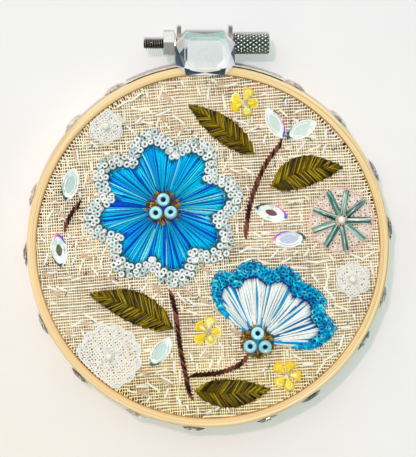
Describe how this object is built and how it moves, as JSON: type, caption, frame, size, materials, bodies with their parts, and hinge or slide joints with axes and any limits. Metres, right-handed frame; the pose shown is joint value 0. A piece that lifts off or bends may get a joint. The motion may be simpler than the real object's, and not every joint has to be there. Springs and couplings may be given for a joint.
{
  "type": "embroidered linen in a wooden embroidery hoop",
  "caption": "Round wooden hoop with a thumbscrew clamp holding stretched linen, worked in raised flowers and leaves with beads, lace patches and cut stones, lying face up.",
  "frame": {"origin": "on the surface the hoop lies on, under the middle of the whole object", "axes": "+Z out of the cloth's worked face, +Y towards the clamp, +X along the screw to its knob"},
  "size_m": [0.1127, 0.1236, 0.0143],
  "materials": {
    "wood": "smooth unvarnished pale wood with fine grain along the ring",
    "linen": "open plain weave, natural beige",
    "plated_steel": "bright nickel plate",
    "cut_stone": "clear faceted glass with a foil back",
    "pale_beads": "glossy pale blue and silvery seed beads",
    "round_beads": "glossy opaque light turquoise",
    "turquoise_thread": "shaded stranded thread with a soft sheen",
    "white_blue_thread": "white and blue stranded thread",
    "blue_thread": "knotted blue thread",
    "olive_thread": "olive stranded thread",
    "brown_thread": "dark brown stranded thread",
    "yellow_thread": "yellow stranded thread",
    "white_lace": "off-white cotton lace",
    "pink_net": "salmon pink net"
  },
  "bodies": {
    "hoop": {"outer_ring": "wood", "inner_ring": "wood", "linen": "linen", "lug_left": "plated_steel", "lug_right": "plated_steel", "hex_nut": "plated_steel", "crystal": "cut_stone", "rim_stone_01": "cut_stone", "rim_stone_02": "cut_stone", "rim_stone_03": "cut_stone", "rim_stone_04": "cut_stone", "rim_stone_05": "cut_stone", "rim_stone_06": "cut_stone", "rim_stone_07": "cut_stone", "rim_stone_08": "cut_stone", "rim_stone_09": "cut_stone", "rim_stone_10": "cut_stone", "rim_stone_11": "cut_stone", "rim_stone_12": "cut_stone", "rim_stone_13": "cut_stone", "rim_stone_14": "cut_stone", "rim_stone_15": "cut_stone", "rim_stone_16": "cut_stone", "bud_stone_1": "cut_stone", "bud_stone_2": "cut_stone", "bud_stone_3": "cut_stone", "bud_stone_4": "cut_stone", "bud_stone_5": "cut_stone", "bud_stone_6": "cut_stone", "bud_stone_7": "cut_stone", "round_flower": "turquoise_thread", "round_flower_edging": "pale_beads", "round_flower_bead_1": "round_beads", "round_flower_bead_2": "round_beads", "round_flower_bead_3": "round_beads", "half_flower": "white_blue_thread", "half_flower_edging": "blue_thread", "half_flower_bead_1": "round_beads", "half_flower_bead_2": "round_beads", "half_flower_bead_3": "round_beads", "leaf_left": "olive_thread", "leaf_low": "olive_thread", "leaf_right": "olive_thread", "leaf_top": "olive_thread", "stem_main": "brown_thread", "stem_half_flower": "brown_thread", "stem_branch": "brown_thread", "stem_twig": "brown_thread", "yellow_flower_1": "yellow_thread", "yellow_flower_2": "yellow_thread", "yellow_flower_3": "yellow_thread", "lace_rosette": "white_lace", "lace_flower_upper": "white_lace", "lace_flower_right": "white_lace", "net_patch_pink": "pink_net"},
    "screw": {"thumbscrew": "plated_steel"}
  },
  "joints": [
    {"name": "screw_turn", "type": "hinge", "parent": "hoop", "child": "screw", "pos_m": [0, 0.0565, 0.006], "axis": [1, 0, 0], "range_deg": [-180, 180]}
  ]
}
